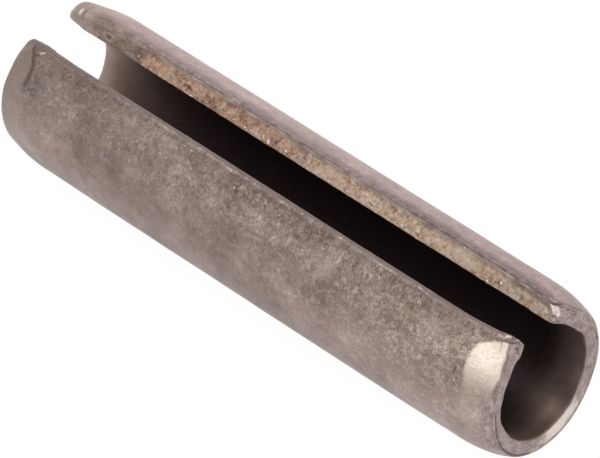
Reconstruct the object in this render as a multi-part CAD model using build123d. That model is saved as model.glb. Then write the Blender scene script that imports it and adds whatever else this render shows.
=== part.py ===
"""Slotted spring pin, also called a roll pin, in its free state, before it is driven into a hole.

One strip of spring steel is rolled into an open tube, and the gap between its two sheared edges is
the slot. Swaging gives both ends a lead-in taper that runs smoothly out of the shank, and draws the
mouths of the bore in a little. The pin lies along X with its slot up, as it settles on a flat
surface, and the origin is on its axis at mid length. Sizes are in millimetres, angles in degrees.
"""

from build123d import *

import os
from math import asin, degrees, hypot, radians, tan

# Overall sizes
pin_length = 40.0
free_diameter = 10.6
wall = 1.5

# Slot, measured across the gap between the outer corners of the two strip edges
slot_gap = 3.8

# Swaged ends
taper_drop = 0.56  # how far the outside has come in, on the radius, at the end face
taper_angle = 16.0  # between the taper and the pin's axis
shoulder_radius = 8.0  # the blend from the shank into the taper
end_edge_radius = 0.35
mouth_drop = 0.1  # how far the bore is drawn in, on the radius, at the end face
mouth_depth = 1.8
mouth_blend_radius = 30.0

# Edges of the strip: shearing rolls the outer ones over, and the inner ones are only broken
outer_edge_radius = 0.25
inner_edge_radius = 0.15

# Slack when the place of an edge is compared with a size
hair = 0.01

# Places that follow from the sizes above
half_length = pin_length / 2
shank_radius = free_diameter / 2
bore_radius = shank_radius - wall
end_radius = shank_radius - taper_drop
mouth_radius = bore_radius - mouth_drop
shoulder_x = half_length - taper_drop / tan(radians(taper_angle))
mouth_x = half_length - mouth_depth
slot_angle = 2 * degrees(asin(slot_gap / 2 / shank_radius))


def wall_section():
    """The wall cut along the pin: x along the axis, y outward from it, the mouth corners sharp."""
    end_half = [
        ((mouth_x, bore_radius), mouth_blend_radius),
        ((half_length, mouth_radius), 0),
        ((half_length, end_radius), end_edge_radius),
        ((shoulder_x, shank_radius), shoulder_radius),
    ]
    other_half = [((-x, y), radius) for (x, y), radius in reversed(end_half)]
    corners, radii = zip(*(end_half + other_half))
    return make_face(FilletPolyline(*corners, radius=radii, close=True))


def rolled_tube():
    """The section swept round the axis from one strip edge to the other, with the gap at the top."""
    tube = revolve(wall_section(), axis=Axis.X, revolution_arc=360 - slot_angle)
    first_edge_angle = 90 + slot_angle / 2
    return Rot(X=first_edge_angle) * tube


def strip_faces(tube):
    """The two flat faces that look at each other across the slot."""
    flats = tube.faces().filter_by(GeomType.PLANE)
    return flats.filter_by(lambda face: abs(face.normal_at().X) < 0.5)


def distance_from_axis(edge):
    middle = edge @ 0.5
    return hypot(middle.Y, middle.Z)


def outer_outline(tube):
    """The edges of the strip faces outside the bore, round the corners of each lip."""
    edges = strip_faces(tube).edges()
    return edges.filter_by(lambda edge: distance_from_axis(edge) > bore_radius + hair)


def bore_outline(tube):
    """The edges where the bore ends: its two mouths and the inner edges of the strip."""
    edges = tube.faces().filter_by(GeomType.PLANE).edges()
    return edges.filter_by(lambda edge: distance_from_axis(edge) < bore_radius + hair)


def build_spring_pin():
    tube = rolled_tube()
    tube = fillet(outer_outline(tube), outer_edge_radius)
    pin = fillet(bore_outline(tube), inner_edge_radius)
    pin.label = "spring_pin"
    return pin


os.makedirs("parts", exist_ok=True)
export_step(build_spring_pin(), "parts/spring_pin.step")
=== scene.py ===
"""Looks of the slotted spring pin: one strip of spring steel rolled into an open tube, slot up.

A place on the strip is (across, along, inward): across it from the left lip to the right lip, along
the pin's axis (X), and inward from the outside. Lengths are in millimetres and angles in degrees.
The angle round the pin, turn, is 0 at the middle of the slot (+Z) and grows towards -Y, so the left
lip is at 21 and the right lip at 339. The near end is at +X.
"""

import math
from types import SimpleNamespace

import bpy
import numpy as np
from mathutils import Matrix, Vector


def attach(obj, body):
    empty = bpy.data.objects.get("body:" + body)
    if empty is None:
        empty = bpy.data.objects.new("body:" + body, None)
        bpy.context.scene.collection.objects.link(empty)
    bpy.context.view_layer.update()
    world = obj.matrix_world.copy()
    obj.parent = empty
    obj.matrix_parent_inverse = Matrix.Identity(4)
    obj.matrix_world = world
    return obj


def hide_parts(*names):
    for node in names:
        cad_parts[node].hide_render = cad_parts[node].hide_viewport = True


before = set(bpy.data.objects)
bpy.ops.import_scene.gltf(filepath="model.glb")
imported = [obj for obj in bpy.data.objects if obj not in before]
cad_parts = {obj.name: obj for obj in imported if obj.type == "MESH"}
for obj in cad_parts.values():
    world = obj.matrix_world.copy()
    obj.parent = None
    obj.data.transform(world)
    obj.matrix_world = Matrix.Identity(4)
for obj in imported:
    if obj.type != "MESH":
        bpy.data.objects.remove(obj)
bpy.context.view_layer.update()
scene = bpy.context.scene

MM = 0.001

# Sizes of the pin
HALF_LENGTH = 20
RADIUS = 5.3
WALL = 1.5
BORE = RADIUS - WALL
MIDDLE = RADIUS - WALL / 2
LIP_TURN = 21  # half the slot, at the outer corners of the lips
STRIP = math.radians(360 - 2 * LIP_TURN) * MIDDLE  # the strip's width at mid depth

# Swaged ends: how far the surface has come in at the end face, the cone's angle, the blend's radius
NEAR_TAPER = (0.6, 20.5, 8.5)
FAR_TAPER = (0.52, 13, 8.2)
MOUTH = (0.1, 3.2, 30)  # the bore's, at both ends

# Edges of the strip along the slot: shearing rolls the outer ones over
OUTER_EDGE = 0.25
INNER_EDGE = 0.15


# ---- numbers over the strip

def smooth(edge0, edge1, x):
    """0 before edge0, 1 after edge1, with an even S between them."""
    t = np.clip((x - edge0) / (edge1 - edge0), 0, 1)
    return t * t * (3 - 2 * t)


def bell(x, middle, size):
    """1 at the middle, falling to about a third at its size."""
    return np.exp(-((x - middle) / size) ** 2)


def course(turn, *points):
    """A value that runs smoothly through (turn, value) points round the pin."""
    turns, values = zip(*points)
    out = np.full_like(turn, values[0], dtype=float)
    for i in range(1, len(points)):
        out += (values[i] - values[i - 1]) * smooth(turns[i - 1], turns[i], turn)
    return out


def lattice(cell, seed):
    """Three random numbers from -1 to 1 for each cell, the same for the same seed."""
    c = cell.astype(np.int64).astype(np.uint32)
    h = c[..., 0] * np.uint32(0x9E3779B1) ^ c[..., 1] * np.uint32(0x85EBCA77)
    h ^= c[..., 2] * np.uint32(0xC2B2AE3D) ^ np.uint32(seed * 0x27D4EB2F & 0xFFFFFFFF)
    h ^= h >> np.uint32(15)
    h *= np.uint32(0x2C1B3C6D)
    h ^= h >> np.uint32(12)
    h *= np.uint32(0x297A2D39)
    h ^= h >> np.uint32(15)
    out = []
    for _ in range(3):
        h = h * np.uint32(1664525) + np.uint32(1013904223)
        out.append((h >> np.uint32(8)).astype(float) / 2**23 - 1)
    return np.stack(out, -1)


def ripple(points, size, seed):
    """Smooth random waves, from about -1 to 1, with the given size in millimetres."""
    p = points / size
    cell = np.floor(p)
    f = p - cell
    w = f * f * f * (f * (f * 6 - 15) + 10)
    total = 0
    for corner in np.ndindex(2, 2, 2):
        corner = np.array(corner)
        gradient = lattice(cell + corner, seed)
        weight = np.prod(np.where(corner == 1, w, 1 - w), axis=-1)
        total = total + weight * np.sum(gradient * (f - corner), axis=-1)
    return total * 1.6


def ripples(points, size, seed, octaves=3, fall=0.5):
    """Waves on waves: each octave is half the size of the one before."""
    return sum(fall**i * ripple(points, size / 2**i, seed + i) for i in range(octaves))


def taper_drop(into, drop, angle, blend):
    """How far a swaged surface has come in, at a distance from its end."""
    angle = math.radians(angle)
    shoulder = drop / math.tan(angle)
    reach = blend * math.tan(angle / 2)
    arc_from = shoulder - reach * math.cos(angle)
    arc_to = shoulder + reach
    arc = blend - np.sqrt(np.maximum(blend**2 - (arc_to - np.clip(into, arc_from, arc_to)) ** 2, 0))
    return np.where(into < arc_from, drop - into * math.tan(angle), arc)


# ---- the strip, flat and sharp

def spaced(stops):
    """Samples through (place, spacing) stops, evenly changing in spacing."""
    out = [stops[0][0]]
    for (a, step_a), (b, step_b) in zip(stops, stops[1:]):
        n = max(1, round(2 * (b - a) / (step_a + step_b)))
        t = np.linspace(0, 1, n + 1)[1:]
        ratio = step_b / step_a
        eased = t if abs(ratio - 1) < 0.01 else (ratio**t - 1) / (ratio - 1)
        out.extend(a + (b - a) * eased)
    return np.array(out)


def mirrored(half, whole):
    """The samples of one half and their mirror image in the other."""
    return np.concatenate([half, whole - half[-2::-1]])


# Samples each way, closest at the edges and on the part of the outside that shows most
ACROSS = mirrored(spaced([(0, 0.035), (0.5, 0.05), (1.3, 0.12), (7, 0.16), (9, 0.36), (STRIP / 2, 0.4)]),
                  STRIP)
INWARD = mirrored(spaced([(0, 0.035), (0.15, 0.04), (0.45, 0.07), (WALL / 2, 0.075)]), WALL)
ALONG = mirrored(spaced([(0, 0.04), (0.2, 0.05), (0.7, 0.1), (3.2, 0.12), (HALF_LENGTH, 0.165)]),
                 2 * HALF_LENGTH) - HALF_LENGTH
LAST = len(ACROSS) - 1
DEEP = len(INWARD) - 1

# (across, inward) places round the strip's section: the outside, the right lip, the inside with half
# as many columns, and the left lip
RING = np.array([(a, 0) for a in ACROSS] + [(STRIP, c) for c in INWARD[1:-1]]
                + [(a, WALL) for a in ACROSS[::-2]] + [(0, c) for c in INWARD[-2:0:-1]])
FIRST_INSIDE = LAST + DEEP
FIRST_LEFT = FIRST_INSIDE + LAST // 2 + 1


def long_sides():
    """A ring of points for each sample along the strip, and the faces that join them."""
    count, stations = len(RING), len(ALONG)
    points = np.empty((stations, count, 3))
    points[..., 0] = RING[:, 0]
    points[..., 1] = ALONG[:, None]
    points[..., 2] = RING[:, 1]
    i = np.arange(count)
    j = (i + 1) % count
    quads = [np.stack([s * count + i, s * count + j, (s + 1) * count + j, (s + 1) * count + i], -1)
             for s in range(stations - 1)]
    return points.reshape(-1, 3), np.concatenate(quads)


def end_face(station, total):
    """New points within an end face, numbered from total, and its faces."""
    ring = station * len(RING)
    grid = np.empty((DEEP, LAST + 1), dtype=int)  # rows inward, the innermost left out
    grid[0] = ring + np.arange(LAST + 1)
    points = []
    for row in range(1, DEEP):
        grid[row, LAST] = ring + LAST + row
        grid[row, 0] = ring + FIRST_LEFT + (DEEP - 1 - row)
        grid[row, 1:LAST] = np.arange(total, total + LAST - 1)
        total += LAST - 1
        points += [(a, ALONG[station], INWARD[row]) for a in ACROSS[1:LAST]]
    quads = np.stack([grid[:-1, :-1], grid[:-1, 1:], grid[1:, 1:], grid[1:, :-1]], -1).reshape(-1, 4)
    # two columns of the grid meet each column of the inside
    inside = ring + FIRST_INSIDE + np.arange(LAST // 2 + 1)[::-1]
    triangles = []
    for k in range(LAST // 2):
        a, b, c = grid[-1, 2 * k:2 * k + 3]
        d, e = inside[k:k + 2]
        triangles += [(a, b, d), (b, e, d), (b, c, e)]
    return np.array(points), quads, np.array(triangles)


def strip_mesh():
    """Points of the sharp-edged strip, and the faces that join them."""
    points, quads = long_sides()
    far_points, far_quads, far_triangles = end_face(0, len(points))
    near_points, near_quads, near_triangles = end_face(len(ALONG) - 1, len(points) + len(far_points))
    # the far face looks the other way
    return (np.concatenate([points, far_points, near_points]),
            np.concatenate([quads, far_quads[:, ::-1], near_quads]),
            np.concatenate([far_triangles[:, ::-1], near_triangles]))


# ---- the strip, rounded and rolled

def turn_at(across):
    return LIP_TURN + np.degrees(across / MIDDLE)


def across_at(turn):
    return math.radians(turn % 360 - LIP_TURN) * MIDDLE


def edge_sizes(turn, across, along, inward):
    """How far the rounding reaches: across the lips, along the pin, and inward."""
    near = smooth(18.2, 19.6, along)
    far = smooth(18.2, 19.6, -along)
    far_half = smooth(12, 18, -along)
    outer = smooth(0.9, 0.5, inward)
    left = smooth(STRIP / 2 + 1, STRIP / 2 - 1, across)
    right = 1 - left
    near_outer = course(turn, (24, 0.12), (33, 0.12), (38, 0.08), (50, 0.1), (95, 0.26), (112, 0.18),
                        (205, 0.16), (225, 0.28), (240, 0.32), (330, 0.12))
    near_mouth = course(turn, (30, 0.14), (80, 0.28), (190, 0.26), (215, 0.12), (235, 0.14), (265, 0.3),
                        (300, 0.22), (318, 0.12), (331, 0.3))
    near_edge = near_mouth + (near_outer - near_mouth) * outer
    to_slot = np.minimum(across, STRIP - across)
    far_edge = 0.28 + 0.06 * outer + 0.14 * smooth(1.2, 0.3, to_slot)
    end_edge = smooth(-1, 1, along) * near_edge + smooth(1, -1, along) * far_edge
    # the right lip's outer edge is sharp but for its far tip
    crisp = right * smooth(-15, -12.5, along)
    lip = INNER_EDGE + (OUTER_EDGE - 0.13 * crisp - INNER_EDGE) * outer
    lip_depth = lip + near * (0.05 * left + 0.03 * right) + far * 0.1
    lip_depth = lip_depth + far_half * outer * (0.15 * left + 0.35 * right)
    reach = 1.6 - 0.8 * near * left
    depth = end_edge + (lip_depth - end_edge) * smooth(reach, 0.3, to_slot)
    lip = lip + near * (0.08 * left + 0.03 * right) + far * 0.12
    lip = lip + far_half * outer * (0.15 * left + 0.4 * right)
    return lip, end_edge, depth


def rounded(p):
    """The strip with its edges and corners rounded, and which way each place looks on it."""
    size = np.stack(edge_sizes(turn_at(p[:, 0]), *p.T), -1)
    low = np.array([0, -HALF_LENGTH, 0]) + size
    high = np.array([STRIP, HALF_LENGTH, WALL]) - size
    core = np.clip(p, low, high)
    out = (p - core) / size
    out = out / np.maximum(np.linalg.norm(out, axis=1, keepdims=True), 1e-9)
    return core + size * out, out


def gleam_course(turn):
    """Where the near end face is dished, and where its painted highlight lies."""
    return smooth(160, 182, turn) * smooth(228, 206, turn)


def near_shift(turn, across, inward):
    """How far the near end face lies out of its plane."""
    radius = RADIUS - inward
    # cut a little out of square: short at the slot, long below it
    lean = 0.0341 * np.cos(np.radians(turn - 122.5)) - 0.0325 * np.cos(np.radians(turn - 32.5))
    # the left lip is set back, and its outer corner is bent over into a bevel
    back = 0.22 * smooth(66, 40, turn) + 0.19 * smooth(0.9, 0, across)
    bevel = course(turn, (20, 0.26), (24, 0.44), (28, 0.5), (31, 0.43), (36, 0.18), (50, 0),
                   (318, 0), (327, 0.24), (333, 0.36)) * np.clip(1 - inward / 0.6, 0, 1)
    # the right lip's corner is broken off at a slant
    slant = 0.56 * np.clip(1 - (STRIP - across) / 0.52, 0, 1)
    # the face dishes in towards the bore at the lower right
    dish = 0.1 * gleam_course(turn) * np.clip((inward - 0.25) / 1.25, 0, 1)
    proud = 0.02 * smooth(95, 115, turn) * smooth(222, 205, turn)
    return lean * radius + proud - back - bevel - slant - dish


def far_shift(turn):
    """How far the far end face does: it is shortest at the lower right."""
    return course(turn, (21, 0.04), (45, 0.01), (64, -0.07), (82, -0.02), (97, 0.06), (150, 0.17),
                  (200, 0.3), (236, 0.47), (262, 0.47), (290, 0.33), (339, 0.14))


def closed(turn, x, across, along, inward):
    """The turn, once swaging has closed the left lip a little at the ends."""
    left = smooth(75, 21, turn)
    turn = turn - left * 3 * smooth(15.5, 19.8, x) - left * 0.9 * smooth(15, 18.5, -x)
    turn = turn - smooth(40, 22, turn) * smooth(17.2, 18.3, -x)
    return turn - (1.4 + 2.4 * inward / WALL) * smooth(1.6, 0.2, across) * smooth(18.6, 19.8, along)


def outer_radius(turn, x, sprung):
    """The outside, tapered at both ends, the near rim swelling here and there."""
    drop = taper_drop(HALF_LENGTH - x, *NEAR_TAPER) + taper_drop(HALF_LENGTH + x, *FAR_TAPER)
    below = smooth(85, 110, turn) * smooth(200, 160, turn)
    drop += 0.045 * below * (bell(x, 16, 2.2) - bell(x, 19.4, 1))
    drop += 0.035 * below * bell(x, -16, 3)
    drop += 0.05 * bell(turn, 208, 9) * smooth(18.6, 19.8, x)
    swell = course(turn, (95, 0), (108, 0.06), (128, 0), (235, 0), (257, 0.035), (275, 0), (290, 0),
                   (305, -0.03), (322, 0))
    tip = 0.1 * bell(turn, 328, 9) * smooth(18.9, 19.5, -x)
    return RADIUS - drop + 0.1 * sprung + tip + swell * smooth(18, 19.4, x)


def inner_radius(turn, x, sprung):
    """The bore, its mouths drawn in, the near one wandering."""
    mouth = taper_drop(HALF_LENGTH - x, *MOUTH) + taper_drop(HALF_LENGTH + x, *MOUTH)
    wander = course(turn, (24, 0.1), (30, 0.21), (43, 0.02), (49, 0.08), (58, 0.23), (80, 0.23), (88, 0.15),
                    (98, 0), (112, -0.08), (148, -0.1), (160, 0), (184, 0.1), (192, 0.13), (207, 0.07),
                    (213, -0.04), (226, -0.17), (236, -0.19), (243, -0.12), (252, -0.12), (259, -0.06),
                    (277, -0.08), (290, -0.08), (304, -0.16), (314, -0.08), (319, -0.01), (326, 0.06),
                    (331, 0.2), (338, 0.06))
    return BORE - mouth + 0.2 * sprung + wander * smooth(18.3, 19.5, x)


def rolled(p):
    """Strip places rolled to points of the pin."""
    across, along, inward = p.T
    turn = turn_at(across)
    x = along + smooth(15.5, 19.7, along) * near_shift(turn, across, inward)
    x = x + smooth(-14, -19.5, along) * far_shift(turn)
    # the right lip stands out a little at the far end
    sprung = smooth(290, 338, turn) * smooth(18.2, 19.8, -x)
    turn = closed(turn, x, across, along, inward)
    outer = outer_radius(turn, x, sprung)
    r = outer + (inner_radius(turn, x, sprung) - outer) * inward / WALL
    a = np.radians(turn)
    return np.stack([x, -r * np.sin(a), r * np.cos(a)], -1)


def normals(points, quads, triangles):
    """Unit normals of the points, from the faces round them."""
    out = np.zeros_like(points)
    n = np.cross(points[quads[:, 2]] - points[quads[:, 0]], points[quads[:, 3]] - points[quads[:, 1]])
    for k in range(4):
        np.add.at(out, quads[:, k], n)
    a, b, c = (points[triangles[:, k]] for k in range(3))
    n = np.cross(b - a, c - a)
    for k in range(3):
        np.add.at(out, triangles[:, k], n)
    return out / np.linalg.norm(out, axis=1, keepdims=True)


SHARP, QUADS, TRIANGLES = strip_mesh()
FLAT, LOOKS = rounded(SHARP)
POINTS = rolled(FLAT)
FACING = normals(POINTS, QUADS, TRIANGLES)

# ---- which part of the strip a place is

AT_ACROSS, AT_ALONG, AT_INWARD = FLAT.T
TURN = turn_at(AT_ACROSS)
NEAR = AT_ALONG > 0
RIGHT = AT_ACROSS > STRIP / 2
TO_LIP, TO_END, TO_BORE = np.abs(LOOKS[:, 0]), np.abs(LOOKS[:, 1]), LOOKS[:, 2]


def shares():
    """How far each point is on a lip, an end face and the bore; the rest is the outside."""
    outside = smooth(0.15, 0.5, -TO_BORE)
    bore = smooth(0.5, 0.85, TO_BORE)
    end = (1 - outside - bore) * smooth(-0.2, 0.2, TO_END - TO_LIP)
    lip = 1 - outside - bore - end
    # the near end's skin is folded over the rim at the lower left
    fold_at = course(TURN, (44, 20.3), (50, 19.9), (56, 19.74), (63, 19.56), (72, 19.42), (90, 19.36),
                     (108, 19.45), (122, 19.7), (134, 20.3))
    folded = smooth(-0.05, 0.05, AT_ALONG + 0.06 * ripples(POINTS, 0.6, 71, 2) - fold_at)
    end += outside * folded
    outside *= 1 - folded
    # the sheared skin of the right lip wraps its outer corner towards the far tip
    wrap_to = course(-AT_ALONG, (12.6, -0.3), (14.5, 0.02), (17, 0.2), (17.8, 0.55), (19, 1.1))
    wrapped = smooth(0.25, -0.25, STRIP - AT_ACROSS + 0.25 * ripples(POINTS, 0.9, 75, 2) - wrap_to)
    return lip + outside * wrapped, end, bore


LIP_PART, END_PART, BORE_PART = shares()
NEAR_FACE = END_PART * NEAR
ROLLOVER = smooth(0.12, 0.45, TO_LIP) * smooth(0.08, 0.4, -TO_BORE)


def along_line(places, width):
    """1 on a line through (along, turn, inward) places, fading over its width."""
    stops = [np.array((across_at(turn), along, inward)) for along, turn, inward in places]
    share = np.linspace(0, 1, 14)[:, None]
    line = rolled(np.concatenate([a + (b - a) * share for a, b in zip(stops, stops[1:])]))
    near = np.abs(POINTS[:, 0] - line[:, 0].mean()) < np.ptp(line[:, 0]) / 2 + 1
    gap = np.linalg.norm(POINTS[near][:, None] - line[None], axis=2).min(axis=1)
    out = np.zeros(len(POINTS))
    out[near] = bell(gap, 0, width)
    return out


def hump(u, v, at_u, at_v, size_u, size_v):
    """A round hump of height 1 at (at_u, at_v)."""
    return np.exp(-((u - at_u) / size_u) ** 2 - ((v - at_v) / size_v) ** 2)


def pit(u, v, at_u, at_v, size_u, size_v):
    """A pit of depth 1 with a low rim."""
    q = ((u - at_u) / size_u) ** 2 + ((v - at_v) / size_v) ** 2
    return -np.exp(-q * 1.5) + 0.45 * bell(np.sqrt(q), 1.35, 0.4)


# ---- relief that is large enough to be form

# Pits of the right lip's sheared face: (along, inward, length, reach inward, depth)
PITS = (
    (-16.45, 0.95, 0.26, 0.18, 0.12), (-11.15, 1.02, 0.14, 0.14, 0.1), (-9.75, 1.02, 0.36, 0.24, 0.14),
    (-2.9, 0.9, 0.09, 0.32, 0.07), (5.15, 1.1, 0.2, 0.13, 0.09), (8.85, 1.2, 0.16, 0.16, 0.1),
    (14.1, 1.34, 0.2, 0.12, 0.12), (-6.9, 1.02, 0.16, 0.1, 0.06), (1.9, 1.15, 0.12, 0.12, 0.05),
    (11.4, 1.05, 0.1, 0.2, 0.05))


# Lines on the near end: their (along, turn, inward) places, their width, and how much they rise,
# darken (painted shade in creases, and dark cracks) and brighten (painted highlights, and scratches)
LINES = (
    # cracks and scratches of the ring
    (((20, -71, 0.62), (20, -72.5, 0.68)), 0.06, -0.05, 0.9, 0),
    (((20, -80.2, 0.42), (20, -84, 0.34), (20, -92.3, 0.2)), 0.05, -0.05, 0.9, 0),
    (((20, -36.5, 0.9), (20, -33.5, 0.95)), 0.05, 0, 0, 0.5),
    (((20, -79, 0.62), (20, -84.5, 0.48)), 0.05, 0, 0, 0.4),
    (((19.55, -24.2, 0), (19.75, -25, 0), (19.6, -27, 0)), 0.05, 0, 0, 0.5),
    # the left lip's corner: a burr folded over with its lumps, both with painted highlights, a crease
    # under it in painted shade, and a nick
    (((19.3, 24.6, 0), (19.65, 25.8, 0), (19.8, 24.6, 0.02), (19.8, 23.8, 0.03)), 0.05, 0.04, 0, 0.35),
    (((19.74, 23.9, 0.01), (19.88, 22.9, 0.06)), 0.065, 0.04, 0, 0.9),
    (((19.95, 22, 0.38), (19.95, 21.8, 0.43)), 0.06, 0.04, 0, 0.9),
    (((19.3, 28.4, 0), (19.63, 27.7, 0), (19.89, 26.6, 0.02), (19.98, 26.4, 0.1), (20, 25.2, 0.23),
      (20, 24.7, 0.33), (20, 23, 0.46)), 0.055, -0.08, 0.9, 0),
    (((20, 26.7, 0.5), (20, 28.9, 0.88)), 0.055, -0.06, 1, 0),
    (((20, 26.5, 0.3), (20, 31.4, 0.3)), 0.05, 0, 0, 0.35))

# Small holes of the near ring: (turn, inward, size)
HOLES = ((-38, 0.5, 0.08), (-88, 0.3, 0.08), (-33, 0.15, 0.09))

# How far each point rises along its normal, and how much painted shade and painted highlight it
# gets, with dark cracks and bright scratches among them
RELIEF_SHADE_HIGHLIGHT = {
    "rise": 0.01 * ripples(POINTS, 5, 11) + 0.004 * ripples(POINTS, 1.2, 21),
    "dark": np.zeros(len(POINTS)),
    "bright": np.zeros(len(POINTS)),
}


def mark(mask, **amounts):
    """Changes how far the mask's places rise, or how much painted shade or highlight they get."""
    for kind, amount in amounts.items():
        RELIEF_SHADE_HIGHLIGHT[kind] += amount * mask


def tear_lips():
    """The sheared faces are torn, and the right one has deep pits."""
    torn = 0.026 * ripples(POINTS * np.array([2.6, 1, 1]), 0.9, 31) + 0.014 * ripples(POINTS, 0.35, 35, 2)
    mark(LIP_PART * smooth(0.15, 0.5, AT_INWARD) * torn, rise=1)
    right_lip = LIP_PART * RIGHT
    for along, inward, length, reach, depth in PITS:
        shape = pit(AT_ALONG, AT_INWARD, along, inward, length, reach) * right_lip
        mark(shape, rise=depth)
        # painted shade in each pit, and a painted highlight on its rim
        mark(np.maximum(-shape, 0), dark=0.7)
        mark(np.maximum(shape, 0), bright=0.8)
    mark(right_lip * hump(AT_ALONG, AT_INWARD, -18.85, 0.3, 0.08, 0.3), dark=0.8)


def roughen_ends():
    """The end faces are rough, and the near one has small holes with painted shade in them."""
    mark(END_PART * (0.01 * ripples(POINTS, 0.7, 41) + 0.006 * ripples(POINTS, 0.25, 45, 2)), rise=1)
    for turn, inward, size in HOLES:
        hole = hump(AT_ACROSS, AT_INWARD, across_at(turn), inward, 1.5 * size, size)
        mark(hole * NEAR_FACE, rise=-0.05, dark=0.8)


def open_lap():
    """Where the near end was rolled over: a lap, open at the lower left, and a groove at the right, both
    darkened with painted shade.
    """
    height = np.hypot(POINTS[:, 1], POINTS[:, 2])
    lap_height = course(TURN, (70, 4.5), (84, 4.38), (100, 4.43), (112, 4.49), (135, 4.52), (152, 4.45))
    lap = bell(height, lap_height, 0.055) * smooth(69, 80, TURN) * smooth(156, 146, TURN)
    mark(lap * smooth(19, 19.4, POINTS[:, 0]), rise=-0.11, dark=1)
    groove = along_line([(19.97, -23.3, 0.05), (19.9, -25.9, 0), (19.8, -28.7, 0), (19.76, -31.5, 0),
                         (19.87, -34.7, 0), (19.93, -38, 0.01), (19.93, -44.9, 0.01)], 0.065)
    mark(groove * (0.55 + 0.45 * smooth(-34, -27, TURN - 360)), rise=-0.06, dark=1)


def paint_rim_light_and_shade():
    """The near rim at the left lip, with a painted highlight on its rounded edge and painted shade under
    it.
    """
    rim_highlight = smooth(0.15, 0.45, TO_END) * smooth(0.52, 0.78, -TO_BORE) * NEAR
    mark(rim_highlight * course(TURN, (25.5, 0), (27.5, 1), (31.5, 1), (34, 0.35), (46, 0.2), (58, 0)),
         bright=1)
    shade = along_line([(20, 28, 0.15), (20, 32, 0.17), (20, 37, 0.15), (20, 47, 0.14)], 0.06)
    rim = smooth(0.15, 0.45, TO_END) * smooth(0.15, 0.45, -TO_BORE) * NEAR
    mark(shade * (1 - rim), dark=0.35)


def paint_ring_highlight():
    """The dished part of the near ring, with a painted highlight in patches."""
    gleam = course(TURN, (165, 0.2), (178, 1.1), (196, 1.35), (206, 0.95), (214, 0.7), (226, 0.35))
    gleam = gleam + 0.7 * ripples(POINTS, 0.42, 61, 3, 0.8)
    mark(np.clip(NEAR_FACE * gleam_course(TURN) * smooth(0.25, 0.75, AT_INWARD) * gleam, 0, 1), bright=1)


def paint_corner_highlight():
    """The right lip's broken corner: a painted highlight near the outside, scuffed below."""
    facet = smooth(STRIP - 0.4, STRIP - 0.29, AT_ACROSS) * NEAR_FACE
    scuffs = ripples(np.stack([AT_ACROSS, 0.35 * AT_INWARD, 0 * AT_ALONG], -1), 0.12, 65, 2)
    corner_highlight = facet * smooth(0.8, 0.5, AT_INWARD) * smooth(0.06, 0.14, AT_INWARD)
    mark(corner_highlight * (0.95 + 0.6 * scuffs), bright=1)
    mark(facet * smooth(1.45, 0.7, AT_INWARD) * np.clip(1.8 * scuffs, 0, 0.8), bright=1)
    mark(facet * smooth(0.4, 0.7, AT_INWARD) * np.clip(-1.4 * scuffs, 0, 0.5), dark=1)
    mark(facet * hump(AT_ACROSS, AT_INWARD, STRIP - 0.19, 0.43, 0.04, 0.05), dark=0.9)


def carve_and_paint_light():
    """Puts all the relief, painted shade and painted highlights on the surface."""
    for places, width, rise, dark, bright in LINES:
        mark(along_line(places, width), rise=rise, dark=dark, bright=bright)
    for work in (tear_lips, roughen_ends, open_lap, paint_rim_light_and_shade, paint_ring_highlight, paint_corner_highlight):
        work()


def make_pin():
    carve_and_paint_light()
    points = POINTS + FACING * RELIEF_SHADE_HIGHLIGHT["rise"][:, None]
    mesh = bpy.data.meshes.new("spring_pin_steel")
    faces = [tuple(f) for f in QUADS.tolist()] + [tuple(f) for f in TRIANGLES.tolist()]
    mesh.from_pydata((points * MM).tolist(), [], faces)
    mesh.polygons.foreach_set("use_smooth", [True] * len(faces))
    fields = {
        "strip": (AT_ALONG, AT_ACROSS, AT_INWARD),
        "part": (LIP_PART, END_PART, BORE_PART),
        "rollover_shade_highlight": (ROLLOVER, np.clip(RELIEF_SHADE_HIGHLIGHT["dark"], 0, 1), np.clip(RELIEF_SHADE_HIGHLIGHT["bright"], 0, 1)),
    }
    for name, values in fields.items():
        attribute = mesh.attributes.new(name, "FLOAT_VECTOR", "POINT")
        attribute.data.foreach_set("vector", np.stack(values, -1).astype(np.float32).ravel())
    mesh.update()
    made = bpy.data.objects.new("spring_pin_steel", mesh)
    scene.collection.objects.link(made)
    return made


pin = make_pin()
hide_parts("spring_pin")
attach(pin, "root")


# ---- steel

METAL = 0.85
ROUGHNESS = 0.44
COAT = 0.2
COAT_ROUGHNESS = 0.35

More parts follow.
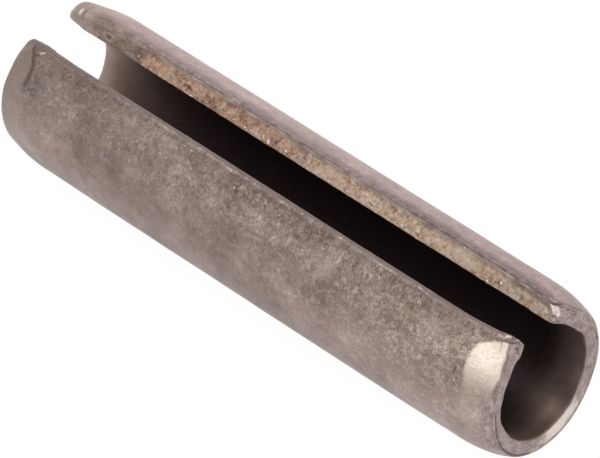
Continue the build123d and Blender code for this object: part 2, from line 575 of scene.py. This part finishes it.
# Marks on the left of the outside: (x, turn, length, width, strength), and a tilt where the oval's
# length is turned away from the pin's. The length and width are half the oval's own.
CLOUDED = (
    (-16, 50, 2.4, 1.9, 0.4), (-12, 48, 1.7, 1.4, 0.35), (-7.5, 47, 1.2, 1.2, 0.8),
    (-4.4, 50, 1.2, 1.2, 0.7), (2, 54, 4, 0.8, 0.8), (4.2, 59, 1.7, 0.9, 0.6), (11.6, 50, 1.2, 0.6, 0.6),
    (13.2, 52, 1.9, 0.5, 0.7))
CLEARED = (
    (-8.8, 63, 1.8, 1.4, 0.8), (-2.3, 51, 0.8, 1.3, 0.6), (6.4, 45, 1.5, 1.2, 0.6),
    (14.6, 38, 2.4, 1.3, 0.6), (9.5, 68, 1.8, 1.4, 0.5))
SCARS = (
    (-13.95, 50, 0.07, 0.3, 0.45, 10), (-14.65, 53, 0.14, 0.06, 0.4, 45), (-9.1, 42, 0.08, 0.06, 0.6),
    (-7.3, 40.5, 0.09, 0.06, 1, -20), (-6.75, 40.5, 0.08, 0.05, 1, 10), (-4.9, 37.8, 0.07, 0.05, 0.9, 45),
    (-1.65, 33.4, 0.1, 0.1, 0.6), (-5.5, 28, 0.12, 0.04, 1), (-6.1, 27.6, 0.14, 0.04, 0.9),
    (0.9, 41, 0.06, 0.23, 0.6, -20), (0.75, 31, 0.14, 0.05, 0.6, 45), (1.95, 32.5, 0.05, 0.11, 0.7, -20),
    (3, 83, 0.07, 0.1, 0.5), (6.95, 37, 0.05, 0.23, 0.7, 10), (8.95, 36, 0.17, 0.07, 0.5, 45),
    (9.6, 27.2, 0.12, 0.04, 0.7, 45), (12.88, 31.7, 0.04, 0.14, 1.1, -20),
    (13.03, 31.5, 0.035, 0.14, 1.1, -20), (17.35, 26.6, 0.1, 0.06, 1, -20), (17.2, 62, 0.06, 0.08, 1),
    (-18.15, 27.8, 0.22, 0.07, 1.2, -20), (-18.25, 28.8, 0.12, 0.07, 0.9, 10),
    (16.3, 27.4, 0.1, 0.05, 0.8), (-19.5, 66, 0.06, 0.06, 0.7))
NICKS = (
    (1.2, 51, 1.7, 0.16, 0.35), (4, 52, 1.2, 0.14, 0.3), (-18.5, 31.2, 0.16, 0.12, 1.1),
    (-18.3, 30, 0.07, 0.1, 0.9), (12.96, 31.6, 0.05, 0.14, 0.9, -20), (13.2, 31.6, 0.06, 0.14, 0.7, -20),
    (14.5, 29.6, 1.3, 0.16, 0.35, -10), (16.2, 28.2, 1, 0.12, 0.35, 10), (-7.3, 41.2, 0.1, 0.05, 0.8),
    (-4.9, 38.6, 0.1, 0.05, 0.8), (1.9, 31.8, 0.1, 0.07, 0.6), (7.3, 40.5, 0.4, 0.06, 0.6, -10),
    (17.05, 56, 0.12, 0.38, 1, 10), (17.35, 60, 0.12, 0.18, 0.6), (17.25, 64.5, 0.08, 0.18, 0.6),
    (-18.15, 51, 0.16, 0.15, 0.8), (-17.75, 52.5, 0.24, 0.11, 0.8), (-18.2, 44, 0.09, 0.14, 0.7),
    (-18, 55.5, 0.15, 0.12, 0.6), (-17.3, 50, 0.2, 0.1, 0.5))

# Torn crumbs of the right lip that shine: (x, inward, length, width, strength), half sizes again
CRUMBS = (
    (-19.15, 0.36, 0.15, 0.3, 1), (-16.33, 1.02, 0.11, 0.15, 0.8), (-11.06, 1, 0.11, 0.11, 1),
    (-13.9, 0.95, 0.11, 0.18, 0.5), (-9.45, 1.32, 0.3, 0.08, 0.7), (-6.4, 0.96, 0.15, 0.11, 0.5),
    (-5.95, 1.16, 0.24, 0.09, 0.5), (-5, 1.2, 0.2, 0.11, 0.6), (-4.55, 1.22, 0.15, 0.11, 0.6),
    (-4.1, 1.2, 0.12, 0.15, 0.5), (-3.5, 1.1, 0.09, 0.27, 0.9), (-3.1, 1.22, 0.12, 0.24, 0.9),
    (-1.7, 1.1, 0.18, 0.15, 0.5), (-0.2, 1.4, 0.09, 0.08, 0.8), (3.3, 1.22, 0.09, 0.18, 0.5),
    (5.25, 0.98, 0.2, 0.12, 0.8), (5.7, 0.88, 0.12, 0.09, 0.6), (7.65, 1.18, 0.15, 0.12, 0.6),
    (9.08, 1.12, 0.11, 0.11, 0.9), (12.3, 0.16, 0.09, 0.08, 0.8), (14.35, 1.28, 0.12, 0.11, 1),
    (15.3, 0.9, 0.09, 0.2, 0.8), (16.9, 1.2, 0.08, 0.21, 0.5), (17.6, 1.05, 0.08, 0.3, 0.5),
    (18.2, 1.15, 0.08, 0.27, 0.5), (18.55, 1, 0.06, 0.33, 0.5))


def rgb(values):
    """A colour as it shows on a screen, 10 to 255 for each part, in Blender's linear values."""
    return (*(((v / 255 + 0.055) / 1.055) ** 2.4 for v in values), 1)


class Graph:
    """Builds a node tree from nested calls, each of which adds a node and gives its output."""

    def __init__(self, tree):
        self.tree = tree

    def node(self, kind, inputs=(), out=0, **settings):
        """A new node of this kind, its inputs given by order or by name."""
        made = self.tree.nodes.new("ShaderNode" + kind)
        for key, value in settings.items():
            setattr(made, key, value)
        for key, value in inputs.items() if isinstance(inputs, dict) else enumerate(inputs):
            if isinstance(value, bpy.types.NodeSocket):
                self.tree.links.new(value, made.inputs[key])
            elif value is not None:
                made.inputs[key].default_value = value
        return made.outputs[out] if len(made.outputs) else None

    def math(self, operation, a, b=0, clamp=False):
        return self.node("Math", (a, b), operation=operation, use_clamp=clamp)

    def add(self, *terms):
        total = terms[0]
        for term in terms[1:]:
            total = self.math("ADD", total, term)
        return total

    def times(self, *factors, clamp=False):
        total = factors[0]
        for factor in factors[1:]:
            total = self.math("MULTIPLY", total, factor, clamp)
        return total

    def about(self, noise, amount):
        """The noise's swing about its middle, from -amount / 2 to amount / 2."""
        return self.times(self.math("SUBTRACT", noise, 0.5), amount)

    def step(self, value, low, high, to_low=0, to_high=1):
        """A smooth step of value from low to high."""
        return self.node("MapRange", (value, low, high, to_low, to_high), interpolation_type="SMOOTHSTEP")

    def mix(self, share, a, b):
        """Colour a turning into colour b."""
        color = [c if isinstance(c, bpy.types.NodeSocket) else rgb(c) for c in (a, b)]
        return self.node("Mix", {0: share, 6: color[0], 7: color[1]}, out=2, data_type="RGBA")

    def tinted(self, color, share, tint):
        """The colour with a tint laid over it."""
        return self.node("Mix", {0: share, 6: color, 7: rgb(tint)}, out=2, data_type="RGBA",
                         blend_type="MULTIPLY")

    def ramp(self, value, *stops):
        """A colour that changes with value through (place, colour) stops."""
        ramp = self.tree.nodes.new("ShaderNodeValToRGB")
        band = ramp.color_ramp
        band.elements.remove(band.elements[1])
        band.elements[0].position = stops[0][0]
        band.elements[0].color = rgb(stops[0][1])
        for position, color in stops[1:]:
            band.elements.new(position).color = rgb(color)
        self.tree.links.new(value, ramp.inputs[0])
        return ramp.outputs[0]

    def noise(self, place, size, detail=3, rough=0.6, warp=0):
        """Noise from 0 to 1 with features of the given size in the place's units."""
        return self.node("TexNoise", {"Vector": place, "Scale": 1 / size, "Detail": detail,
                                      "Roughness": rough, "Distortion": warp})

    def stretch(self, place, x, y, z, shift=0):
        """The place with each axis multiplied: below 1, a pattern is drawn out along it."""
        return self.node("Mapping", {0: place, 1: (shift, shift, shift), 3: (x, y, z)})

    def parts(self, vector):
        """The three parts of a place or a colour."""
        kind = "ShaderNodeSeparateColor" if vector.type == "RGBA" else "ShaderNodeSeparateXYZ"
        made = self.tree.nodes.new(kind)
        self.tree.links.new(vector, made.inputs[0])
        return made.outputs


# ---- steel: what its colours share

steel = bpy.data.materials.new("spring_steel")
steel.use_nodes = True
g = Graph(steel.node_tree)
add, times, about, step, mix, tinted = g.add, g.times, g.about, g.step, g.mix, g.tinted
ramp, noise, stretch = g.ramp, g.noise, g.stretch

place = g.node("Mapping", {0: g.node("TexCoord", out=3), 3: (1 / MM, 1 / MM, 1 / MM)})
strip_place = g.node("Attribute", out=1, attribute_name="strip")
along, across, inward = g.parts(strip_place)
lip, end, bore = g.parts(g.node("Attribute", out=1, attribute_name="part"))
rolled_over, dark_marks, bright_marks = g.parts(g.node("Attribute", out=1, attribute_name="rollover_shade_highlight"))
outside = g.math("SUBTRACT", 1, add(lip, end, bore), clamp=True)
right = step(across, STRIP / 2 - 1, STRIP / 2 + 1)
left = g.math("SUBTRACT", 1, right)


def elsewhere(shift):
    """The place shifted, so that a noise there is another one."""
    return stretch(place, 1, 1, 1, shift)


clouds = noise(place, 3.6, 3, 0.55, 0.3)
patches = noise(place, 1.1, warp=0.6)
mottle = noise(place, 0.34, 3, 0.65, 0.4)
grain = noise(place, 0.12, 3, 0.7, 0.5)
hue = noise(elsewhere(7), 0.8, 5, 0.75)
wander = g.node("TexNoise", {"Vector": place, "Scale": 1 / 0.3, "Detail": 2}, out=1)
bent = g.node("VectorMath", (wander, (0.3, 0.3, 0.3), place), operation="MULTIPLY_ADD")
coarse_edge = noise(elsewhere(3), 0.5)
fine_edge = noise(elsewhere(9), 0.16)
turned = {}


def turning(low, high):
    """A smooth step round the pin from one turn to another."""
    return step(across, across_at(low), across_at(high))


def worms(shift, size, width):
    """Thin lines that wander, as a fine pitted skin has."""
    field = noise(elsewhere(shift), size, 2, 0.6, 0.8)
    return step(g.math("ABSOLUTE", g.math("SUBTRACT", field, 0.5)), width, width * 0.3)


def flakes(size):
    """Ragged cells of the given size: a random number for each."""
    return g.parts(g.node("TexVoronoi", {"Vector": bent, "Scale": 1 / size}, out=1))[0]


def cracks(size, width):
    """Thin lines between the ragged cells, here and there."""
    gap = g.node("TexVoronoi", {"Vector": bent, "Scale": 1 / size}, feature="DISTANCE_TO_EDGE")
    return times(step(gap, width / size, 0.3 * width / size), step(patches, 0.46, 0.6))


def flat_cells(flat_place, size=1):
    """Cells on the flat strip: how far a place is from its cell's middle, and a number for each."""
    cells = {"Vector": flat_place, "Scale": 1 / size}
    reach = g.node("TexVoronoi", cells, voronoi_dimensions="2D")
    return reach, g.parts(g.node("TexVoronoi", cells, out=1, voronoi_dimensions="2D"))[0]


def cos_sin(tilt):
    return math.cos(math.radians(tilt)), math.sin(math.radians(tilt))


def tilted(tilt):
    """The strip's place turned by an angle in degrees."""
    if tilt not in turned:
        c, s = cos_sin(tilt)
        turned[tilt] = g.node("CombineXYZ", [
            g.node("VectorMath", (strip_place, axis), out=1, operation="DOT_PRODUCT")
            for axis in ((c, s, 0), (-s, c, 0))])
    return turned[tilt]


def oval(from_place, scale, middle):
    """0 at the middle of an oval, 1 on its rim."""
    local = g.node("VectorMath", (from_place, scale, middle), operation="MULTIPLY_ADD")
    return g.node("VectorMath", (local,), out=1, operation="LENGTH")


def reach_of(x, y, length, width, tilt=0):
    """The oval at a place on the outside: x along the pin, y across the strip."""
    c, s = cos_sin(tilt)
    return oval(tilted(tilt), (1 / length, 1 / width, 0),
                (-(c * x + s * y) / length, -(c * y - s * x) / width, 0))


def face_reach(x, depth, length, width):
    """The oval at a place on a sheared face."""
    return oval(strip_place, (1 / length, 0, 1 / width), (-x / length, 0, -depth / width))


def spot(x, turn, length, width, soft, rough_edge):
    """1 inside a ragged oval on the outside, fading over its rim."""
    reach = add(reach_of(x, across_at(turn), length, width), about(coarse_edge, rough_edge))
    return step(reach, 1 + soft / 2, 1 - soft / 2)


def highest(reaches, strengths):
    """The strongest of several ovals at each place: its strength at its middle, 0 on its rim."""
    field = None
    for reach, strength in zip(reaches, strengths):
        one = g.node("Math", (reach, -strength, strength), operation="MULTIPLY_ADD")
        field = g.math("MAXIMUM", field, one) if field else one
    return field


def marks(places, edge, swing, low, high):
    """Ragged ovals at the places of a table, as one mask."""
    reaches = [reach_of(x, across_at(turn), length, width, *tilt)
               for x, turn, length, width, strength, *tilt in places]
    ovals = highest(reaches, [place[4] for place in places])
    return step(add(ovals, about(edge, swing)), low, high)


def dashes(tilt, length, width, chosen, shift):
    """Short scratches at one angle, in the chosen share of the outside's cells."""
    reach, pick = flat_cells(stretch(tilted(tilt), 1 / length, 1 / width, 0.01, shift))
    return times(step(reach, 0.24, 0.08), step(pick, 1 - chosen, 1 - chosen + 0.05))


# the outside is roughest high on the left, and towards the near end
upper = times(turning(86, 42), left)
rough_zone = times(add(0.4, times(upper, 0.46)), step(along, -18, 17, 0.8, 1.35))
light_worms = worms(0, 0.4, 0.07)


# ---- steel: its colours

def oxide_color():
    """The outside: mottled oxide, calmer and pinker low on the left and on the right."""
    dark_worms = worms(5, 0.46, 0.06)
    broad = times(about(clouds, 0.8), step(across, STRIP / 2 - 1, STRIP / 2 + 1, 1, 0.35))
    tone = add(
        0.46, times(step(along, 4, 15), left, 0.09), broad, about(patches, 0.5),
        times(about(mottle, 0.6), rough_zone), times(about(grain, 0.85), rough_zone),
        times(about(flakes(0.34), 0.2), rough_zone), times(cracks(0.34, 0.05), rough_zone, -0.16),
        times(light_worms, rough_zone, 0.09), times(dark_worms, rough_zone, -0.12),
        # painted light and shade round the pin: darker beside the left lip, lighter from turn 85 and darker
        # again from turn 112 on the left, and lighter on the right side, which faces up
        times(turning(46, 30), -0.08), times(turning(60, 85), left, 0.1),
        times(turning(90, 112), left, -0.14), times(right, 0.28),
        times(right, step(along, 7, 11), -0.06))
    oxide = ramp(tone, (0.05, (94, 78, 70)), (0.3, (121, 105, 97)), (0.5, (143, 127, 119)),
                 (0.7, (166, 150, 142)), (0.95, (203, 187, 179)))
    oxide = tinted(oxide, g.math("SUBTRACT", 1, upper), (255, 247, 250))
    oxide = tinted(oxide, right, (255, 248, 251))
    oxide = tinted(oxide, times(step(hue, 0.52, 0.64), left), (255, 246, 249))
    return tinted(oxide, times(step(hue, 0.48, 0.36), left), (249, 255, 243))


def handled(oxide):
    """The oxide with fine scratches, darker and lighter clouds, bright scars and dark nicks."""
    scratch = g.math("MAXIMUM", dashes(35, 1.1, 0.36, 0.35, 0), dashes(-50, 1, 0.34, 0.35, 11.3))
    scratch = g.math("MAXIMUM", scratch, dashes(80, 0.9, 0.34, 0.3, 23.1))
    scratch = times(scratch, step(patches, 0.42, 0.58), add(0.12, times(upper, 0.6)))
    oxide = mix(times(scratch, 0.4), oxide, (196, 180, 170))
    # each layer's places, the noise that makes their edges ragged and its swing, the limits of its
    # step, how much it covers, and its colour
    for places, edge, swing, low, high, share, color in (
            (CLOUDED, coarse_edge, 0.5, 0, 1, 0.4, (96, 83, 73)),
            (CLEARED, coarse_edge, 0.5, 0, 1, 0.38, (176, 159, 149)),
            (SCARS, fine_edge, 0.6, 0.05, 0.55, 0.8, (218, 203, 195)),
            (NICKS, fine_edge, 0.5, 0, 0.7, 0.8, (80, 67, 61))):
        oxide = mix(times(marks(places, edge, swing, low, high), share), oxide, color)
    return oxide


def far_taper(oxide):
    """The far taper's left: a blue-grey stain, and smoother pinkish steel beyond a dark line."""
    stain = spot(-17.55, 47.5, 0.72, 0.62, 0.9, 1.6)
    oxide = mix(times(stain, step(mottle, 0.35, 0.6), 0.75), oxide, (92, 88, 90))
    arc = add(along, times(turning(24, 42), -0.9), about(coarse_edge, 0.35), about(fine_edge, 0.25))
    beyond = times(step(arc, -19, -19.3), left)
    line = times(step(arc, -18.8, -19.04), step(arc, -19.36, -19.1), left, turning(60, 46),
                 step(patches, 0.3, 0.52, 0.35, 1))
    oxide = mix(times(beyond, 0.55), oxide, (146, 128, 121))
    return mix(times(line, 0.8), oxide, (82, 68, 63))


def rolled_edges(oxide):
    """The oxide with a smooth pinkish band at the left lip, painted shade where that lip rolls over
    and painted shade along the right lip's outer edge; also the band's colour and the noise that
    breaks its lines."""
    fray = noise(stretch(strip_place, 0.35, 1, 1), 0.35)
    from_left = add(across, about(fray, 0.5))
    drawn = noise(stretch(strip_place, 0.5, 2, 1), 0.35)
    band_color = ramp(add(0.5, about(drawn, 0.9), about(grain, 0.4)),
                      (0.25, (112, 97, 92)), (0.48, (138, 122, 116)),
                      (0.62, (154, 137, 132)), (0.85, (190, 174, 168)))
    oxide = mix(times(step(from_left, 0.5, 0.15), 0.8), oxide, band_color)
    light_line = g.math("ABSOLUTE", g.math("SUBTRACT", from_left, 0.27))
    broken = noise(stretch(strip_place, 1, 0.2, 1), 1.1, 3, 0.7)
    oxide = mix(times(step(light_line, 0.08, 0.02), step(broken, 0.46, 0.66),
                      step(along, -11, -7), step(along, 15, 12), 0.75), oxide, (206, 190, 184))
    dark_line = g.math("ABSOLUTE", g.math("SUBTRACT", from_left, 0.46))
    oxide = mix(times(step(dark_line, 0.13, 0.04), step(broken, 0.56, 0.44), 0.5), oxide, (94, 79, 74))
    # painted shade where the left lip's edge rolls over towards the slot
    oxide = mix(times(rolled_over, left, 0.5), oxide, (92, 79, 77))
    # painted shade along the right lip's outer edge
    from_right = add(g.math("SUBTRACT", STRIP, across), about(fray, 0.8))
    wide = times(step(from_right, 1, 0.3), step(along, 3, 8, 0.62, 0.8))
    narrow = times(step(from_right, 0.45, 0.2), about(mottle, 2))
    right_edge_shade = times(right, add(wide, narrow), clamp=True)
    return mix(right_edge_shade, oxide, (100, 84, 82)), band_color, broken


def torn_fields():
    """What tears the sheared faces: slanted streaks, ragged crumbs, dots and blotches."""
    leaning = g.node("Mapping", {0: strip_place, 2: (0, math.radians(32), 0)})
    return SimpleNamespace(
        streaks=noise(stretch(leaning, 2.4, 0.8, 0.9, 4), 0.45, warp=0.6),
        crumbs=flakes(0.26),
        dots=noise(elsewhere(13), 0.2, 3, 0.65, 0.5),
        blotches=noise(elsewhere(17), 0.95, 2, 0.5, 0.4))


def bare_color(torn):
    """A sheared face where it is bare: tan, torn across, greyer towards the near end."""
    cut = add(
        0.555, about(torn.streaks, 0.66), about(torn.blotches, 0.44), about(torn.dots, 0.36),
        about(torn.crumbs, 0.12), times(cracks(0.26, 0.045), -0.1),
        times(step(along, -3, 0), 0.05), times(step(inward, 1.22, 1.4), 0.06),
        times(step(inward, 0.75, 0.3), -0.05))
    bare = ramp(cut, (0.24, (118, 96, 82)), (0.4, (186, 161, 144)), (0.52, (226, 203, 186)),
                (0.66, (250, 235, 222)), (0.8, (255, 252, 247)))
    patchy = times(step(along, 1, -3), step(torn.blotches, 0.32, 0.56, 0.6, 1))
    bare = tinted(bare, patchy, (248, 229, 218))
    bare = tinted(bare, step(along, -1, 1), (255, 248, 241))
    bare = tinted(bare, step(hue, 0.51, 0.58), (255, 244, 241))
    bare = tinted(bare, step(hue, 0.49, 0.42), (253, 253, 240))
    bare = tinted(bare, step(along, 9, 13), (249, 247, 245))
    return tinted(bare, step(along, 14, 17), (242, 248, 255))


def sheared_color(torn, band_color, broken):
    """The sheared faces: bare, but grey and rubbed towards the outside and at the far tip."""
    shear = bare_color(torn)
    rubbed_and_lit = noise(stretch(strip_place, 0.3, 1, 1.4), 0.34, warp=0.4)
    grey = ramp(add(0.5, about(rubbed_and_lit, 0.55), about(torn.blotches, 0.45), about(grain, 0.3),
                    times(step(along, -14, -12), 0.09)),
                (0.3, (116, 96, 86)), (0.5, (166, 145, 134)), (0.7, (212, 194, 184)))
    far_tip = step(add(along, about(coarse_edge, 0.8)), -13.2, -13.9)
    depth_in = add(inward, about(coarse_edge, 0.6), times(far_tip, -1.2),
                   times(step(along, 15.4, 17), -0.18))
    grey = mix(times(step(along, -16.8, -18.6), 0.4), grey, (222, 204, 196))
    shear = mix(times(step(depth_in, 0.48, 0.18), 0.9), shear, grey)
    near_shade = times(step(along, 15.4, 17), step(inward, 0.62, 0.3), 0.45)
    shear = mix(near_shade, shear, (112, 95, 82))
    # the right lip's outer edge glints, with a dark seam on it; the left lip's is the band's colour
    glint = times(step(inward, 0.06, 0.11), step(inward, 0.22, 0.15), step(broken, 0.48, 0.62),
                  right, step(along, -12.5, -11))
    shear = mix(times(glint, 0.55), shear, (240, 228, 220))
    seam = times(step(inward, 0.1, 0.04), right, step(broken, 0.58, 0.44), step(along, -13, -11))
    shear = mix(times(seam, 0.6), shear, (84, 68, 62))
    return mix(times(left, step(inward, 0.7, 0.3)), shear, band_color)


def shining_crumbs():
    """Where the torn crumbs of the right lip shine."""
    chips = highest([face_reach(*crumb[:4]) for crumb in CRUMBS], [crumb[4] for crumb in CRUMBS])
    return times(step(add(chips, about(fine_edge, 0.6)), 0.04, 0.46), right)


def end_color(torn):
    """The end faces: grey and rough, with marks that follow the ring."""
    ring_marks = noise(stretch(strip_place, 1, 0.35, 1.6), 0.26, warp=0.5)
    tone = add(0.54, about(ring_marks, 0.46), about(mottle, 0.3), about(grain, 0.3),
               about(torn.crumbs, 0.08), times(cracks(0.26, 0.045), -0.1))
    return ramp(tone, (0.26, (96, 80, 78)), (0.5, (154, 135, 131)), (0.74, (208, 190, 185)))


def bore_color():
    """The bore: darker inside and lighter at the mouths, painted shade and light, with a few specks."""
    share = add(times(along, 1 / (2 * HALF_LENGTH)), 0.5, about(patches, 0.02))
    inside = ramp(share, (0.005, (168, 147, 140)), (0.035, (122, 100, 91)), (0.06, (98, 77, 69)),
                  (0.1, (84, 65, 60)), (0.2, (72, 56, 58)), (0.87, (76, 59, 61)),
                  (0.915, (66, 52, 52)), (0.935, (82, 68, 63)), (0.965, (124, 106, 97)),
                  (0.978, (154, 133, 122)), (0.99, (150, 130, 119)))
    streaked = noise(stretch(strip_place, 0.25, 1, 1), 0.5)
    inside = mix(times(step(streaked, 0.35, 0.7), 0.12), inside, (48, 38, 36))
    # painted light on the lower right of the bore, inside the near mouth
    rubbed_and_lit = times(turning(210, 234), turning(300, 270), step(along, 17.2, 19.2), 0.6)
    inside = mix(rubbed_and_lit, inside, (186, 164, 156))
    reach, pick = flat_cells(strip_place, 0.9)
    speck = times(step(reach, 0.075, 0.035), step(pick, 0.86, 0.88))
    return mix(times(speck, 0.45), inside, (150, 136, 134))


def burnished_highlight_patch():
    """The near taper's burnished patch with its highlight painted on: a half-round patch, cut off along
    the lip, and a fainter tail.
    """
    reach = reach_of(19.35, 2.3, 1.62, 1.9)
    sandy = add(about(mottle, 0.5), about(grain, 0.9))
    patch = times(
        step(add(reach, about(coarse_edge, 0.25), about(fine_edge, 0.16)), 1.13, 0.95),
        step(add(across, times(along, 0.338), about(fine_edge, 0.25)), 7.1, 7.24),
        step(add(across, times(sandy, 1.6)), 4.4, 1.6))
    tail = times(spot(18.7, 72, 1, 1.5, 1.2, 0.5), add(0.24, times(sandy, 0.4)))
    return g.math("MAXIMUM", times(patch, add(0.9, sandy)), tail, clamp=True)


def finish_steel():
    """Joins the colours by part, painted shade and painted highlights, and sets the shader."""
    oxide = far_taper(handled(oxide_color()))
    oxide, band_color, broken = rolled_edges(oxide)
    torn = torn_fields()
    shear = sheared_color(torn, band_color, broken)
    chips = shining_crumbs()
    shear = mix(times(chips, 0.85), shear, (250, 238, 230))
    smudge = step(face_reach(-17.85, 0.35, 0.38, 0.2), 1.3, 0.6)
    shear = mix(times(smudge, lip, 0.35), shear, (128, 132, 134))
    face = end_color(torn)
    inside = bore_color()
    color = mix(lip, oxide, shear)
    color = mix(end, color, face)
    color = mix(bore, color, inside)

    burnish_and_highlight = burnished_highlight_patch()
    # painted highlight on the near taper's burnished patch
    color = mix(times(burnish_and_highlight, 0.85, outside), color, (228, 213, 198))
    patch_edge = times(step(along, 19.6, 19.66), step(along, 19.78, 19.72),
                       step(across, 1.2, 0.8), outside)
    color = mix(times(patch_edge, 0.6), color, (148, 130, 112))
    # painted highlights and bright scratches, then painted shade and dark cracks, from the mesh
    color = mix(times(bright_marks, 0.85), color, (244, 230, 222))
    color = mix(times(dark_marks, 0.8), color, (48, 38, 37))

    # a sheared face is duller than the rest, but for its crumbs
    metal = add(METAL, times(end, -0.15), times(lip, add(-0.45, times(chips, 0.4))))
    rough = add(ROUGHNESS, about(mottle, 0.2), times(bore, 0.05), times(lip, 0.32),
                times(burnish_and_highlight, -0.14), times(chips, lip, -0.25))
    # heights in millimetres; the last term makes facets on the crumbs that lean up to the light
    height = add(
        times(grain, 0.014, rough_zone), times(mottle, 0.016, rough_zone),
        times(patches, 0.02), times(light_worms, rough_zone, 0.004),
        times(add(torn.streaks, torn.dots, times(torn.crumbs, 0.3), times(chips, 0.2)), lip, 0.05),
        times(chips, lip, g.math("MODULO", inward, 0.12)))
    relief = g.node("Bump", {"Strength": 1, "Distance": MM, "Height": height})
    shader = steel.node_tree.nodes["Principled BSDF"]
    shader.inputs["Coat Weight"].default_value = COAT
    shader.inputs["Coat Roughness"].default_value = COAT_ROUGHNESS
    for socket, value in (
            ("Base Color", color), ("Metallic", metal), ("Roughness", rough), ("Normal", relief)):
        steel.node_tree.links.new(value, shader.inputs[socket])


finish_steel()
pin.data.materials.append(steel)


# ---- floor, light and camera

FLOOR_SIZE = 3
FLOOR_GLOW = 0.95  # how white the floor is by itself
FLOOR_LIT = 0.12  # how much the light on it adds, so that it keeps a shadow
FLOOR_GREY = 0.8  # the floor, for other light
SKY_LIGHT = 0.5  # the background, for other light
SEEN = ("Is Camera Ray", "Is Glossy Ray", "Is Transmission Ray")


def emptied(made):
    """A graph in a new material or world, with nothing in it."""
    made.use_nodes = True
    made.node_tree.nodes.clear()
    return Graph(made.node_tree)


def where_seen(graph, seen, other):
    """One shader for the camera and for reflections, another for other light."""
    path = graph.tree.nodes.new("ShaderNodeLightPath")
    total = path.outputs[SEEN[0]]
    for kind in SEEN[1:]:
        total = graph.math("ADD", total, path.outputs[kind], clamp=True)
    return graph.node("MixShader", (total, other, seen))


def floor_material():
    material = bpy.data.materials.new("floor")
    graph = emptied(material)
    lit = graph.node("BsdfDiffuse", {"Color": (FLOOR_LIT, FLOOR_LIT, FLOOR_LIT, 1)})
    glow = graph.node("Emission", {"Strength": FLOOR_GLOW})
    plain = graph.node("BsdfDiffuse", {"Color": (FLOOR_GREY, FLOOR_GREY, FLOOR_GREY, 1)})
    seen = graph.node("AddShader", (lit, glow))
    graph.node("OutputMaterial", (where_seen(graph, seen, plain),))
    return material


def studio_world():
    world = bpy.data.worlds.new("studio")
    graph = emptied(world)
    soft = graph.node("Background", {"Color": (1, 1, 1, 1), "Strength": SKY_LIGHT})
    white = graph.node("Background", {"Color": (1, 1, 1, 1), "Strength": 1})
    graph.node("OutputWorld", (where_seen(graph, white, soft),))
    return world


def lamp(name, place, size, power):
    """A square soft box that faces the pin."""
    data = bpy.data.lights.new(name, "AREA")
    data.size = size
    data.energy = power
    made = bpy.data.objects.new(name, data)
    made.location = place
    made.rotation_mode = "QUATERNION"
    made.rotation_quaternion = (-Vector(place)).to_track_quat("-Z", "Y")
    scene.collection.objects.link(made)


bpy.ops.mesh.primitive_plane_add(size=FLOOR_SIZE, location=(0, 0, -RADIUS * MM))
floor = bpy.context.active_object
floor.name = "floor"
floor.data.materials.append(floor_material())

scene.world = studio_world()
lamp("key", (-0.1, -0.53, 0.59), 0.5, 1)
lamp("back", (-0.4, 0.75, 0.4), 0.6, 0.8)
lamp("top", (0.1, 0.1, 0.8), 0.5, 0.5)

# The camera looks down on the near end from its left
CAMERA_PLACE = (0.176047, -0.160997, 0.252544)
CAMERA_RIGHT = Vector((0.72776, 0.68214, -0.07106))
CAMERA_UP = Vector((-0.46336, 0.56543, 0.68234))
SENSOR_WIDTH = 36
FOCAL_LENGTH = 351.52
CLIP = (0.01, 20)


def add_camera():
    data = bpy.data.cameras.new("camera")
    data.sensor_width = SENSOR_WIDTH
    data.lens = FOCAL_LENGTH
    data.clip_start, data.clip_end = CLIP
    camera = bpy.data.objects.new("camera", data)
    scene.collection.objects.link(camera)
    back = CAMERA_RIGHT.cross(CAMERA_UP).normalized()
    turned_to = Matrix((CAMERA_RIGHT, back.cross(CAMERA_RIGHT).normalized(), back)).transposed()
    camera.matrix_world = Matrix.Translation(CAMERA_PLACE) @ turned_to.to_4x4()
    scene.camera = camera


add_camera()
scene.view_settings.view_transform = "Standard"
